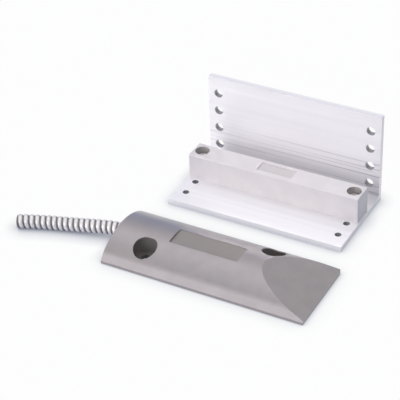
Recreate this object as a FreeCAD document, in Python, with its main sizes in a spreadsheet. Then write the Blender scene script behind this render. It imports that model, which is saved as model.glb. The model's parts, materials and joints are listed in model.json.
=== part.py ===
# A magnetic contact for an overhead door, in two halves that face each other: a low floor-mounted switch
# housing with an armoured lead, and a magnet block screwed to an angle bracket. Millimetres, +Z up,
# standing on Z = 0. The origin is under the middle of the two rigid halves. +X runs along their length and
# +Y points from the switch to the bracket.
import FreeCAD, Part

import math
import os

import Sketcher
from FreeCAD import Placement, Rotation, Vector

# Driving sizes: name, value and what it is
SIZES = [
    ("switch_length", 109.0, "switch housing, end to end"),
    ("switch_width", 44.6, "switch housing, across the base"),
    ("lip_height", 1.5, "upright lip around the base"),
    ("skirt_run", 2.53, "how far the steep skirt reaches in"),
    ("skirt_top", 4.24, "where the skirt runs into the shoulder"),
    ("shoulder_radius", 12.0, "round shoulder between skirt and crown"),
    ("crown_slope", 0.577, "slope at the crown's edges, as a share of the skirt's"),
    ("ramp_length", 30.6, "sloping end, along the housing"),
    ("ramp_end_height", 2.0, "height left at the foot of the ramp"),
    ("back_corner_radius", 2.2, "rounding of the two rear corners in plan"),
    ("field_start", 29.0, "bare field, from the lead end"),
    ("field_length", 37.4, "bare field, along the housing"),
    ("field_width", 12.0, "bare field, across the housing"),
    ("field_shift", 1.0, "bare field, off the middle line"),
    ("field_depth", 1.05, "bare field, below the crown"),
    ("field_corner", 0.8, "corner radius of the bare field"),
    ("front_hole_start", 19.3, "front mounting hole, from the lead end"),
    ("front_hole_wall", 1.3, "metal between the front mounting hole and the reed channel"),
    ("rear_hole_start", 31.7, "rear mounting hole, from the ramp end"),
    ("rear_hole_wall", 2.9, "metal between the rear mounting hole and the reed channel"),
    ("mount_bore", 5.2, "mounting hole"),
    ("mount_counterbore", 11.8, "counterbore of the mounting holes"),
    ("mount_floor", 2.0, "metal left under a mounting screw's head"),
    ("mount_rim_rounding", 0.45, "rounding of the counterbore's rim"),
    ("pocket_wall", 2.0, "metal between the mounting holes and the wide pocket"),
    ("pocket_width", 28.0, "wide pocket, across the housing"),
    ("pocket_ceiling", 5.0, "top of the wide pocket"),
    ("pocket_corner", 1.5, "corner radius of the wide pocket"),
    ("channel_side_room", 0.7, "potting between the returning wire and the channel's side"),
    ("channel_top_room", 0.2, "potting between the carrier tube and the channel's top"),
    ("channel_end_room", 2.0, "potting past the returning wire's loop"),
    ("potting_recess", 0.5, "potting surface above the underside"),
    ("armor_wall", 1.2, "wound strip, across the wall of the armour"),
    ("armor_insert", 6.0, "length of armour held in the housing"),
    ("armor_clearance", 0.1, "play of the armour in its seat, per side"),
    ("bushing_flange", 0.8, "flange of the armour bushing"),
    ("bushing_sleeve", 4.0, "sleeve of the armour bushing"),
    ("bushing_wall", 0.35, "wall of the bushing's sleeve"),
    ("bushing_clearance", 0.1, "play of the bushing, per side"),
    ("inner_wall", 1.6, "metal between the armour's seat and the reed channel"),
    ("jacket_wall", 0.4, "jacket outside the conductors"),
    ("jacket_end", 1.0, "jacket past the inner wall"),
    ("wire_diameter", 1.4, "insulated conductor"),
    ("wire_gap", 0.2, "between the two conductors"),
    ("core_diameter", 0.6, "copper core, and a reed blade's wire"),
    ("wire_straight", 2.0, "short conductor, from the jacket to where it is stripped"),
    ("strip_gap", 1.0, "bare core between the insulation and a splice"),
    ("splice_diameter", 1.6, "crimped sleeve"),
    ("splice_length", 5.0, "crimped sleeve"),
    ("loop_gap", 0.6, "between the carrier tube and the returning wire"),
    ("loop_shift", 4.0, "length in which the returning wire moves over to its side"),
    ("loop_overrun", 2.0, "returning wire past the far splice before it turns"),
    ("sleeve_wall", 0.8, "carrier tube's wall"),
    ("sleeve_play", 0.15, "carrier tube around the glass, per side"),
    ("sleeve_overhang", 2.5, "carrier tube past each end of the glass"),
    ("glass_diameter", 2.7, "glass capsule"),
    ("glass_length", 15.0, "glass capsule"),
    ("glass_wall", 0.35, "wall of the glass capsule"),
    ("glass_seal", 2.2, "solid glass at each end"),
    ("blade_width", 1.2, "flat of a reed blade"),
    ("blade_thickness", 0.2, "flat of a reed blade"),
    ("blade_gap", 0.08, "open contact gap between the blades"),
    ("blade_overlap", 1.2, "overlap of the two blades"),
    ("blade_wire", 4.5, "blade wire past the glass"),
    ("blade_join", 0.8, "blade wire inside the capsule, on the flat"),
    ("halves_gap", 14.5, "from the switch's back to the bracket's foot"),
    ("bracket_shift", -1.0, "bracket's middle, from the switch's middle"),
    ("bracket_length", 97.2, "angle bracket, end to end"),
    ("leg_size", 50.8, "both legs of the angle"),
    ("leg_thickness", 3.0, "both legs of the angle"),
    ("heel_fillet", 0.6, "inner corner of the angle"),
    ("last_row_inset", 9.2, "last row of holes, from the legs' free edges"),
    ("leg_hole", 4.8, "clearance holes in the upright leg"),
    ("foot_hole", 3.4, "tapped holes in the foot"),
    ("block_inset", 0.6, "magnet block's ends, from the bracket's ends"),
    ("block_width", 12.4, "magnet block, across"),
    ("block_height", 14.3, "magnet block"),
    ("block_offset", 1.6, "block's middle line, past the second row of holes"),
    ("block_rounding", 0.6, "outer edges of the block"),
    ("block_end_wall", 1.2, "metal between a counterbore and the block's end"),
    ("counterbore_depth", 4.8, "counterbore of the block's screws"),
    ("block_field_length", 19.6, "bare field on the block"),
    ("block_field_width", 7.2, "bare field on the block"),
    ("block_field_depth", 0.4, "bare field on the block"),
    ("block_wall", 2.0, "block's side walls around the cavity"),
    ("block_roof", 3.4, "block's metal over the cavity"),
    ("cavity_end_wall", 2.3, "block's metal between a counterbore and the cavity"),
    ("magnet_gap", 1.0, "between the two bar magnets"),
    ("magnet_play", 0.4, "potting around the magnets, per side"),
    ("magnet_cover", 0.5, "potting below the magnets"),
    ("screw_head", 6.8, "pan head, across"),
    ("screw_head_height", 2.3, "pan head"),
    ("screw_edge_share", 0.4, "upright edge of the pan head, as a share of its height"),
    ("head_clearance", 0.4, "counterbore around the head, per side"),
    ("shank_clearance", 0.5, "block's hole around the shank, per side"),
    ("screw_flush", 0.3, "screw end, above the foot's underside"),
    ("recess_width", 0.9, "arm of the cross recess"),
    ("recess_span", 3.6, "cross recess, tip to tip"),
    ("recess_depth", 1.3, "cross recess"),
]
LEG_ROWS = 4
FOOT_ROWS = 2

# The lead's route beyond its exit: distance out from the housing, sideways and height, chosen by eye. It
# leaves straight for a short run, bends towards the front and comes down to lie on the surface that the
# housing lies on.
LEAD_STRAIGHT = 3.5
LEAD_ROUTE = [
    (13.5, -2.1, 5.0),
    (24.5, -4.6, 4.05),
    (35.5, -7.6, 3.69),
    (45.5, -11.0, 3.66),
    (53.8, -14.5, 3.66),
]
ARC_SHARE = 0.45

# How far a cut runs past the surface that it opens
PAST = 1.0

X_AXIS = Vector(1, 0, 0)
Z_AXIS = Vector(0, 0, 1)

doc = FreeCAD.newDocument("magnetic_contact")


# Sizes

class Size:
    """A number together with the formula over the sheet that gives it, so that a shape is drawn and bound at
    once."""

    def __init__(self, value, text):
        self.value = value
        self.text = text

    def __add__(self, other):
        other = as_size(other)
        return Size(self.value + other.value, f"({self.text} + {other.text})")

    def __sub__(self, other):
        other = as_size(other)
        return Size(self.value - other.value, f"({self.text} - {other.text})")

    def __mul__(self, other):
        other = as_size(other)
        return Size(self.value * other.value, f"({self.text} * {other.text})")

    def __truediv__(self, other):
        other = as_size(other)
        return Size(self.value / other.value, f"({self.text} / {other.text})")

    def __neg__(self):
        return Size(-self.value, f"(0 - {self.text})")

    def root(self):
        """The square root."""
        return Size(math.sqrt(self.value), f"sqrt({self.text})")


def as_size(value):
    """A plain number as a size, and a size as it is."""
    if isinstance(value, Size):
        return value
    return Size(float(value), repr(float(value)))


def fill_sheet():
    """Writes the driving sizes into the sheet and gives them back by name."""
    sheet = doc.addObject("Spreadsheet::Sheet", "Sizes")
    for row, (name, value, meaning) in enumerate(SIZES, start=1):
        sheet.set(f"A{row}", meaning)
        sheet.set(f"B{row}", str(value))
        sheet.setAlias(f"B{row}", name)
    doc.recompute()
    return {name: Size(getattr(sheet, name), f"Sizes.{name}") for name, value, meaning in SIZES}


S = fill_sheet()
ZERO = as_size(0)


# Sketches

def new_sketch(body, name, plane, offset=None):
    """A sketch on one of the body's own origin planes, moved along that plane's normal by offset."""
    sketch = body.newObject("Sketcher::SketchObject", name)
    support = next(feature for feature in body.Origin.OriginFeatures if feature.Role == plane)
    sketch.AttachmentSupport = [(support, "")]
    sketch.MapMode = "FlatFace"
    if offset is not None:
        sketch.setExpression("AttachmentOffset.Base.z", offset.text)
    return sketch


def bind_constraint(sketch, constraint, size):
    """Adds a constraint and binds its value to a size."""
    index = sketch.addConstraint(constraint)
    sketch.setExpression(f"Constraints[{index}]", size.text)


def pin_point(sketch, edge, end, spot):
    """Fixes one end of an edge at a spot, given as two sizes from the sketch's origin."""
    for kind, size in zip(("DistanceX", "DistanceY"), spot):
        bind_constraint(sketch, Sketcher.Constraint(kind, -1, 1, edge, end, size.value), size)


def arc_edge(start, end, radius, turn):
    """The shorter arc from start to end; turn is 1 for anticlockwise and -1 for clockwise."""
    chord = end - start
    half = chord.Length / 2
    side = Vector(-chord.y, chord.x, 0).normalize()
    centre = (start + end) / 2 + side * turn * math.sqrt(max(radius ** 2 - half ** 2, 0))
    first, last = (start, end) if turn > 0 else (end, start)
    first_angle = math.atan2(first.y - centre.y, first.x - centre.x)
    last_angle = math.atan2(last.y - centre.y, last.x - centre.x)
    return Part.ArcOfCircle(Part.Circle(centre, Z_AXIS, radius), first_angle, last_angle)


def draw_outline(sketch, corners, arcs=None):
    """Draws a closed outline through corners. arcs gives, by edge number, a radius and a turn."""
    arcs = arcs or {}
    first_edge = sketch.GeometryCount
    count = len(corners)
    ends = []
    for number, corner in enumerate(corners):
        following = corners[(number + 1) % count]
        start = Vector(corner[0].value, corner[1].value, 0)
        end = Vector(following[0].value, following[1].value, 0)
        if number in arcs:
            radius, turn = arcs[number]
            sketch.addGeometry(arc_edge(start, end, radius.value, turn))
            ends.append((1, 2) if turn > 0 else (2, 1))
        else:
            sketch.addGeometry(Part.LineSegment(start, end))
            ends.append((1, 2))
    for number, corner in enumerate(corners):
        edge = first_edge + number
        following = (number + 1) % count
        next_edge = first_edge + following
        joint = Sketcher.Constraint("Coincident", edge, ends[number][1], next_edge, ends[following][0])
        sketch.addConstraint(joint)
        pin_point(sketch, edge, ends[number][0], corner)
        if number in arcs:
            radius = arcs[number][0]
            bind_constraint(sketch, Sketcher.Constraint("Radius", edge, radius.value), radius)


def draw_circle(sketch, centre, diameter):
    """Draws a circle about a centre."""
    middle = Vector(centre[0].value, centre[1].value, 0)
    edge = sketch.addGeometry(Part.Circle(middle, Z_AXIS, diameter.value / 2))
    pin_point(sketch, edge, 3, centre)
    bind_constraint(sketch, Sketcher.Constraint("Diameter", edge, diameter.value), diameter)


def rectangle(low_x, low_y, high_x, high_y):
    """The four corners of a rectangle."""
    return [(low_x, low_y), (high_x, low_y), (high_x, high_y), (low_x, high_y)]


def draw_rounded(sketch, low_x, low_y, high_x, high_y, radius):
    """Draws a rectangle with round corners."""
    corners = [
        (low_x + radius, low_y),
        (high_x - radius, low_y),
        (high_x, low_y + radius),
        (high_x, high_y - radius),
        (high_x - radius, high_y),
        (low_x + radius, high_y),
        (low_x, high_y - radius),
        (low_x, low_y + radius),
    ]
    draw_outline(sketch, corners, {number: (radius, 1) for number in (1, 3, 5, 7)})


# Features

def new_body(name):
    """An empty body that is written out under its own name."""
    body = doc.addObject("PartDesign::Body", name)
    body.Label = name
    return body


def pad(body, name, sketch, length, symmetric=False):
    """Raises a sketch into a solid."""
    feature = body.newObject("PartDesign::Pad", name)
    feature.Profile = sketch
    feature.SideType = "Symmetric" if symmetric else "One side"
    feature.setExpression("Length", length.text)
    doc.recompute()


def pocket(body, name, sketch, length=None, symmetric=False):
    """Cuts along the sketch's own normal, right through where no length is given, and makes sure that it
    cut."""
    before = body.Shape.Volume
    feature = body.newObject("PartDesign::Pocket", name)
    feature.Profile = sketch
    feature.SideType = "Symmetric" if symmetric else "One side"
    feature.Reversed = not symmetric
    if length is None:
        feature.Type = "ThroughAll"
    else:
        feature.setExpression("Length", length.text)
    doc.recompute()
    if not body.Shape.Volume < before:
        raise ValueError(f"{name} cut nothing")
    return feature


def repeat_rows(body, name, feature, sketch, spacing, count):
    """Repeats a row of holes up the sketch's second axis."""
    before = body.Shape.Volume
    pattern = body.newObject("PartDesign::LinearPattern", name)
    pattern.Originals = [feature]
    pattern.Direction = (sketch, ["V_Axis"])
    pattern.Mode = "Spacing"
    pattern.setExpression("Offset", spacing.text)
    pattern.Occurrences = count
    body.Tip = pattern
    doc.recompute()
    if not body.Shape.Volume < before:
        raise ValueError(f"{name} cut nothing")


def round_edges(body, name, radius, test):
    """Rounds those of the body's edges that pass a test."""
    base = body.Tip
    chosen = [f"Edge{number}" for number, edge in enumerate(base.Shape.Edges, start=1) if test(edge)]
    feature = body.newObject("PartDesign::Fillet", name)
    feature.Base = (base, chosen)
    feature.setExpression("Radius", radius.text)
    doc.recompute()


def turn_section(body, name, corners, axis, arcs=None):
    """Turns a half section about its sketch's horizontal or vertical axis."""
    sketch = new_sketch(body, f"{name}_section", "XZ_Plane")
    draw_outline(sketch, corners, arcs)
    turned = body.newObject("PartDesign::Revolution", f"{name}_turned")
    turned.Profile = sketch
    turned.ReferenceAxis = (sketch, [axis])
    turned.Angle = 360
    doc.recompute()


def place(thing, x=ZERO, y=ZERO, z=ZERO):
    """Puts a sub-part at a place in the assembly."""
    for axis, size in zip("xyz", (x, y, z)):
        thing.setExpression(f"Placement.Base.{axis}", size.text)


def box_between(name, low, high):
    """A plain box between two corners."""
    box = doc.addObject("Part::Box", name)
    box.Label = name
    for side, first, last in zip(("Length", "Width", "Height"), low, high):
        box.setExpression(side, (last - first).text)
    place(box, *low)
    return box


def rod_along_x(name, diameter, x_start, length, y, z):
    """A plain round rod that starts at x_start and runs along +X."""
    rod = doc.addObject("Part::Cylinder", name)
    rod.Label = name
    rod.setExpression("Radius", (diameter / 2).text)
    rod.setExpression("Height", length.text)
    rod.Placement.Rotation = Rotation(Vector(0, 1, 0), 90)
    place(rod, x_start, y, z)
    return rod


def cut_away(name, base, tools):
    """What is left of base when the tools are taken away."""
    tool = tools[0]
    if len(tools) > 1:
        tool = doc.addObject("Part::MultiFuse", f"{name}_tools")
        tool.Shapes = tools
    cut = doc.addObject("Part::Cut", name)
    cut.Label = name
    cut.Base = base
    cut.Tool = tool
    return cut


def as_feature(name, shape):
    """A sub-part whose shape is worked out here from the sheet's sizes."""
    feature = doc.addObject("Part::Feature", name)
    feature.Label = name
    feature.Shape = shape
    feature.Placement = Placement()
    return feature


# Sizes and places that several sub-parts share

total_depth = S["switch_width"] + S["halves_gap"] + S["leg_size"]
switch_y = S["switch_width"] / 2 - total_depth / 2
heel_y = total_depth / 2
half_length = S["switch_length"] / 2
half_width = S["switch_width"] / 2
lead_end = -half_length

# The crowned section's upper side. A straight skirt rises from the lip and runs smoothly into a round
# shoulder. The shoulder runs smoothly into the crown's wide arc where it has come down to the slope of the
# crown's edge.
skirt_slope = (S["skirt_top"] - S["lip_height"]) / S["skirt_run"]
skirt_slant = (skirt_slope * skirt_slope + 1).root()
skirt_y = half_width - S["skirt_run"]
edge_slope = skirt_slope * S["crown_slope"]
edge_slant = (edge_slope * edge_slope + 1).root()
joint_y = skirt_y - S["shoulder_radius"] * (skirt_slope / skirt_slant - edge_slope / edge_slant)
joint_z = S["skirt_top"] + S["shoulder_radius"] * (as_size(1) / edge_slant - as_size(1) / skirt_slant)
crown_radius = joint_y * edge_slant / edge_slope
crown_height = joint_z + crown_radius * (as_size(1) - as_size(1) / edge_slant)

# Across the lead, from the conductors outwards
wire_spacing = S["wire_diameter"] + S["wire_gap"]
jacket_diameter = wire_spacing + S["wire_diameter"] + S["jacket_wall"] * 2
bushing_bore = jacket_diameter + S["bushing_clearance"] * 2
armor_bore = bushing_bore + (S["bushing_wall"] + S["bushing_clearance"]) * 2
armor_diameter = armor_bore + S["armor_wall"] * 2
lead_height = crown_height / 2

# Along the reed, from the lead end inwards
seat_depth = S["armor_insert"] + S["bushing_flange"]
channel_start = seat_depth + S["inner_wall"]
jacket_stop = lead_end + channel_start + S["jacket_end"]
near_splice = jacket_stop + S["wire_straight"] + S["strip_gap"]
near_blade = near_splice + S["splice_length"] / 2
glass_start = near_blade + S["blade_wire"]
glass_middle = glass_start + S["glass_length"] / 2
far_blade = glass_start + S["glass_length"] + S["blade_wire"]
far_splice = far_blade - S["splice_length"] / 2
far_splice_end = far_blade + S["splice_length"] / 2
loop_turn = far_splice_end + S["strip_gap"] + S["loop_overrun"]

# Across the reed
sleeve_bore = S["glass_diameter"] + S["sleeve_play"] * 2
sleeve_diameter = sleeve_bore + S["sleeve_wall"] * 2
sleeve_length = S["glass_length"] + S["sleeve_overhang"] * 2
loop_reach = sleeve_diameter / 2 + S["loop_gap"] + S["wire_diameter"] / 2
reed_side = -wire_spacing / 2
loop_side = reed_side + loop_reach

# Around the reed
channel_half_width = loop_side + S["wire_diameter"] / 2 + S["channel_side_room"]
channel_ceiling = lead_height + sleeve_diameter / 2 + S["channel_top_room"]
channel_end = loop_turn + loop_reach / 2 + S["wire_diameter"] / 2 + S["channel_end_room"]

# Across and along the bracket
hole_pitch = (S["leg_size"] - S["last_row_inset"]) / LEG_ROWS
counterbore = S["screw_head"] + S["head_clearance"] * 2
column_inset = S["block_inset"] + S["block_end_wall"] + counterbore / 2
column_reach = S["bracket_length"] / 2 - column_inset
bracket_columns = (-column_reach, column_reach)
block_line = hole_pitch * 2 + S["block_offset"]
block_y = heel_y - block_line

# Inside the magnet block, measured from its middle and its underside
cavity_half_length = column_reach - counterbore / 2 - S["cavity_end_wall"]
cavity_half_width = S["block_width"] / 2 - S["block_wall"]
cavity_ceiling = S["block_height"] - S["block_roof"]
magnet_length = cavity_half_length - S["magnet_play"] - S["magnet_gap"] / 2
magnet_half_width = cavity_half_width - S["magnet_play"]
magnet_base = S["potting_recess"] + S["magnet_cover"]
magnet_top = cavity_ceiling - S["magnet_play"]


# Switch housing

def cut_crown(body):
    """Cuts away all that lies outside the crowned section, above the lip."""
    sketch = new_sketch(body, "crown_section", "YZ_Plane")
    side = half_width + PAST
    top = crown_height + PAST * 2
    corners = [
        (side, S["lip_height"]),
        (side, top),
        (-side, top),
        (-side, S["lip_height"]),
        (-half_width, S["lip_height"]),
        (-skirt_y, S["skirt_top"]),
        (-joint_y, joint_z),
        (joint_y, joint_z),
        (skirt_y, S["skirt_top"]),
        (half_width, S["lip_height"]),
    ]
    arcs = {5: (S["shoulder_radius"], -1), 6: (crown_radius, -1), 7: (S["shoulder_radius"], -1)}
    draw_outline(sketch, corners, arcs)
    pocket(body, "crown_cut", sketch, symmetric=True)


def cut_ramp(body):
    """Planes off the far end. The cut meets the crown's top at the ramp's start, and runs past both its
    ends."""
    slope = (crown_height - S["ramp_end_height"]) / S["ramp_length"]
    top = crown_height + PAST
    sketch = new_sketch(body, "ramp_sketch", "XZ_Plane")
    corners = [
        (half_length - S["ramp_length"] - as_size(PAST) / slope, top),
        (half_length + PAST, S["ramp_end_height"] - slope * PAST),
        (half_length + PAST, top),
    ]
    draw_outline(sketch, corners)
    pocket(body, "ramp_cut", sketch, symmetric=True)


def mounting_holes():
    """The names and middles of the two mounting holes, on one diagonal."""
    radius = S["mount_counterbore"] / 2
    front_y = -(channel_half_width + S["front_hole_wall"] + radius)
    rear_y = channel_half_width + S["rear_hole_wall"] + radius
    return [
        ("front", lead_end + S["front_hole_start"], front_y),
        ("rear", half_length - S["rear_hole_start"], rear_y),
    ]


def cut_mounting_hole(body, name, x, y):
    """A counterbore from above and a bore through the floor that it leaves."""
    sketch = new_sketch(body, f"{name}_counterbore", "XY_Plane", S["mount_floor"])
    draw_circle(sketch, (x, y), S["mount_counterbore"])
    pocket(body, f"{name}_counterbore_cut", sketch)
    sketch = new_sketch(body, f"{name}_bore", "XY_Plane")
    draw_circle(sketch, (x, y), S["mount_bore"])
    pocket(body, f"{name}_bore_cut", sketch)


def on_mount_rim(edge):
    """Whether an edge is part of a counterbore's upper rim: on its wall, not upright, and well above its
    floor."""
    radius = S["mount_counterbore"].value / 2
    length = edge.LastParameter - edge.FirstParameter
    spots = [edge.valueAt(edge.FirstParameter + length * share) for share in (0.2, 0.8)]
    if min(spot.z for spot in spots) < S["mount_floor"].value + 0.5 or edge.Curve.TypeId == "Part::GeomLine":
        return False
    return any(
        all(abs(math.hypot(spot.x - x.value, spot.y - y.value) - radius) < 1e-3 for spot in spots)
        for name, x, y in mounting_holes()
    )


def draw_channel(sketch):
    """The narrow channel over the reed, from the inner wall to past the returning wire's loop."""
    outline = rectangle(lead_end + channel_start, -channel_half_width, channel_end, channel_half_width)
    draw_outline(sketch, outline)


def draw_pocket(sketch):
    """The wide pocket between the two mounting holes."""
    half = S["pocket_width"] / 2
    wall = S["mount_counterbore"] / 2 + S["pocket_wall"]
    start = lead_end + S["front_hole_start"] + wall
    end = half_length - S["rear_hole_start"] - wall
    draw_rounded(sketch, start, -half, end, half, S["pocket_corner"])


def make_switch_housing():
    """The die-cast shell of the switch half."""
    body = new_body("switch_housing")
    place(body, y=switch_y)
    radius = S["back_corner_radius"]
    sketch = new_sketch(body, "plan", "XY_Plane")
    corners = [
        (-half_length, -half_width),
        (half_length, -half_width),
        (half_length, half_width - radius),
        (half_length - radius, half_width),
        (radius - half_length, half_width),
        (-half_length, half_width - radius),
    ]
    draw_outline(sketch, corners, {2: (radius, 1), 4: (radius, 1)})
    pad(body, "plan_block", sketch, crown_height + PAST)
    cut_crown(body)
    for name, x, y in mounting_holes():
        cut_mounting_hole(body, name, x, y)
    round_edges(body, "rim_rounding", S["mount_rim_rounding"], on_mount_rim)
    cut_ramp(body)
    sketch = new_sketch(body, "bare_field", "XY_Plane", crown_height - S["field_depth"])
    draw_rounded(
        sketch,
        lead_end + S["field_start"],
        S["field_shift"] - S["field_width"] / 2,
        lead_end + S["field_start"] + S["field_length"],
        S["field_shift"] + S["field_width"] / 2,
        S["field_corner"],
    )
    pocket(body, "bare_field_cut", sketch)
    sketch = new_sketch(body, "reed_channel", "XY_Plane")
    draw_channel(sketch)
    pocket(body, "reed_channel_cut", sketch, channel_ceiling)
    sketch = new_sketch(body, "wide_pocket", "XY_Plane")
    draw_pocket(sketch)
    pocket(body, "wide_pocket_cut", sketch, S["pocket_ceiling"])
    sketch = new_sketch(body, "armor_seat", "YZ_Plane", lead_end)
    draw_circle(sketch, (ZERO, lead_height), armor_diameter + S["armor_clearance"] * 2)
    pocket(body, "armor_seat_cut", sketch, seat_depth)
    sketch = new_sketch(body, "jacket_hole", "YZ_Plane", lead_end)
    draw_circle(sketch, (ZERO, lead_height), bushing_bore)
    pocket(body, "jacket_hole_cut", sketch, channel_start + S["jacket_end"])


# Angle bracket

def is_inner_corner(edge):
    """Whether an edge is the angle's inner corner, which runs along its length."""
    inner = S["leg_thickness"].value
    middle = edge.CenterOfMass
    return abs(middle.z - inner) < 1e-3 and abs(middle.y + inner) < 1e-3 and abs(middle.x) < 1e-3


def make_l_bracket():
    """The equal-leg angle. Its upright leg's back and its foot's underside meet at the heel, the body's
    origin."""
    body = new_body("l_bracket")
    place(body, x=S["bracket_shift"], y=heel_y)
    sketch = new_sketch(body, "angle_section", "YZ_Plane")
    corners = [
        (ZERO, ZERO),
        (ZERO, S["leg_size"]),
        (-S["leg_thickness"], S["leg_size"]),
        (-S["leg_thickness"], S["leg_thickness"]),
        (-S["leg_size"], S["leg_thickness"]),
        (-S["leg_size"], ZERO),
    ]
    draw_outline(sketch, corners)
    pad(body, "angle_bar", sketch, S["bracket_length"], symmetric=True)
    round_edges(body, "inner_corner", S["heel_fillet"], is_inner_corner)
    sketch = new_sketch(body, "leg_holes", "XZ_Plane")
    for x in bracket_columns:
        draw_circle(sketch, (x, hole_pitch), S["leg_hole"])
    row = pocket(body, "leg_row", sketch, S["leg_thickness"] + S["heel_fillet"])
    repeat_rows(body, "leg_rows", row, sketch, hole_pitch, LEG_ROWS)
    sketch = new_sketch(body, "block_holes", "XY_Plane")
    for x in bracket_columns:
        draw_circle(sketch, (x, -block_line), S["foot_hole"])
    pocket(body, "block_row", sketch, S["leg_thickness"])
    sketch = new_sketch(body, "foot_holes", "XY_Plane")
    for x in bracket_columns:
        draw_circle(sketch, (x, -hole_pitch * LEG_ROWS), S["foot_hole"])
    row = pocket(body, "foot_row", sketch, S["leg_thickness"])
    repeat_rows(body, "foot_rows", row, sketch, hole_pitch, FOOT_ROWS)


# Magnet block

def make_magnet_housing():
    """The cast block: a rounded bar, a screw hole with a counterbore at each end and a cavity from below."""
    body = new_body("magnet_housing")
    place(body, S["bracket_shift"], block_y, S["leg_thickness"])
    half_bar = S["bracket_length"] / 2 - S["block_inset"]
    half_across = S["block_width"] / 2
    sketch = new_sketch(body, "block_plan", "XY_Plane")
    draw_outline(sketch, rectangle(-half_bar, -half_across, half_bar, half_across))
    pad(body, "block_bar", sketch, S["block_height"])
    round_edges(body, "block_edges", S["block_rounding"], lambda edge: edge.CenterOfMass.z > 1e-3)
    for end, x in zip(("left", "right"), bracket_columns):
        floor = S["block_height"] - S["counterbore_depth"]
        sketch = new_sketch(body, f"{end}_counterbore", "XY_Plane", floor)
        draw_circle(sketch, (x, ZERO), counterbore)
        pocket(body, f"{end}_counterbore_cut", sketch)
        sketch = new_sketch(body, f"{end}_screw_hole", "XY_Plane")
        draw_circle(sketch, (x, ZERO), S["foot_hole"] + S["shank_clearance"] * 2)
        pocket(body, f"{end}_screw_hole_cut", sketch)
    half_field = S["block_field_length"] / 2
    half_field_across = S["block_field_width"] / 2
    sketch = new_sketch(body, "block_field", "XY_Plane", S["block_height"] - S["block_field_depth"])
    draw_outline(sketch, rectangle(-half_field, -half_field_across, half_field, half_field_across))
    pocket(body, "block_field_cut", sketch)
    sketch = new_sketch(body, "magnet_cavity", "XY_Plane")
    corners = rectangle(-cavity_half_length, -cavity_half_width, cavity_half_length, cavity_half_width)
    draw_outline(sketch, corners)
    pocket(body, "magnet_cavity_cut", sketch, cavity_ceiling)


def make_magnets():
    """The two bar magnets, end to end in the block."""
    gap = S["magnet_gap"] / 2
    spans = {"bar_magnet_left": (-gap - magnet_length, -gap), "bar_magnet_right": (gap, gap + magnet_length)}
    return [
        box_between(
            name,
            (S["bracket_shift"] + low, block_y - magnet_half_width, S["leg_thickness"] + magnet_base),
            (S["bracket_shift"] + high, block_y + magnet_half_width, S["leg_thickness"] + magnet_top),
        )
        for name, (low, high) in spans.items()
    ]


def make_magnet_potting(magnets):
    """The fill of the block's cavity around the magnets."""
    fill = box_between(
        "magnet_fill",
        (
            S["bracket_shift"] - cavity_half_length,
            block_y - cavity_half_width,
            S["leg_thickness"] + S["potting_recess"],
        ),
        (
            S["bracket_shift"] + cavity_half_length,
            block_y + cavity_half_width,
            S["leg_thickness"] + cavity_ceiling,
        ),
    )
    cut_away("magnet_potting", fill, magnets)


def make_block_screw(end, x):
    """A pan-head screw with a cross recess. Its shank fills the tapped hole of the foot."""
    head_seat = S["leg_thickness"] + S["block_height"] - S["counterbore_depth"]
    body = doc.addObject("PartDesign::Body", f"{end}_screw")
    place(body, S["bracket_shift"] + x, block_y)
    shank = S["foot_hole"] / 2
    head = S["screw_head"] / 2
    top = head_seat + S["screw_head_height"]
    edge_height = head_seat + S["screw_head_height"] * S["screw_edge_share"]
    rise = top - edge_height
    dome = (head * head + rise * rise) / (rise * 2)
    corners = [
        (ZERO, S["screw_flush"]),
        (shank, S["screw_flush"]),
        (shank, head_seat),
        (head, head_seat),
        (head, edge_height),
        (ZERO, top),
    ]
    turn_section(body, f"{end}_screw", corners, "V_Axis", {4: (dome, 1)})
    tip = S["recess_span"] / 2
    arm = S["recess_width"] / 2
    corners = [
        (tip, -arm), (tip, arm), (arm, arm), (arm, tip), (-arm, tip), (-arm, arm),
        (-tip, arm), (-tip, -arm), (-arm, -arm), (-arm, -tip), (arm, -tip), (arm, -arm),
    ]
    sketch = new_sketch(body, f"{end}_recess", "XY_Plane", top - S["recess_depth"])
    draw_outline(sketch, corners)
    pocket(body, f"{end}_recess_cut", sketch)
    return body


def make_block_screws():
    """Both screws of the block, as one sub-part."""
    group = doc.addObject("Part::Compound", "block_screws")
    group.Label = "block_screws"
    group.Links = [make_block_screw(end, x) for end, x in zip(("left", "right"), bracket_columns)]


# Lead

def lead_points():
    """The lead's route in the assembly, from its seat in the housing to its free end."""
    exit_x = lead_end.value
    middle = switch_y.value
    height = lead_height.value
    points = [
        Vector(exit_x + S["armor_insert"].value, middle, height),
        Vector(exit_x - LEAD_STRAIGHT, middle, height),
    ]
    return points + [Vector(exit_x - out, middle + side, up) for out, side, up in LEAD_ROUTE]


def lead_path():
    """Straight runs joined by tangent arcs, each as large as its two runs allow, and their whole length."""
    points = lead_points()
    edges = []
    start = points[0]
    for before, corner, after in zip(points, points[1:], points[2:]):
        into = (corner - before).normalize()
        out = (after - corner).normalize()
        half_turn = into.getAngle(out) / 2
        reach = ARC_SHARE * min((corner - before).Length, (after - corner).Length)
        radius = reach / math.tan(half_turn)
        arc_start = corner - into * reach
        arc_end = corner + out * reach
        arc_middle = corner + (out - into).normalize() * (radius / math.cos(half_turn) - radius)
        edges.append(Part.LineSegment(start, arc_start).toShape())
        edges.append(Part.Arc(arc_start, arc_middle, arc_end).toShape())
        print(f"lead bend: radius {radius:.1f} mm, turn {math.degrees(2 * half_turn):.1f} degrees")
        start = arc_end
    edges.append(Part.LineSegment(start, points[-1]).toShape())
    return Part.Wire(edges), sum(edge.Length for edge in edges)


def swept(path, radius):
    """A round rod along a path."""
    first = path.Edges[0]
    start = first.FirstParameter
    circle = Part.makeCircle(radius, first.valueAt(start), first.tangentAt(start))
    return path.makePipeShell([Part.Wire([circle])], True, False)


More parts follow.
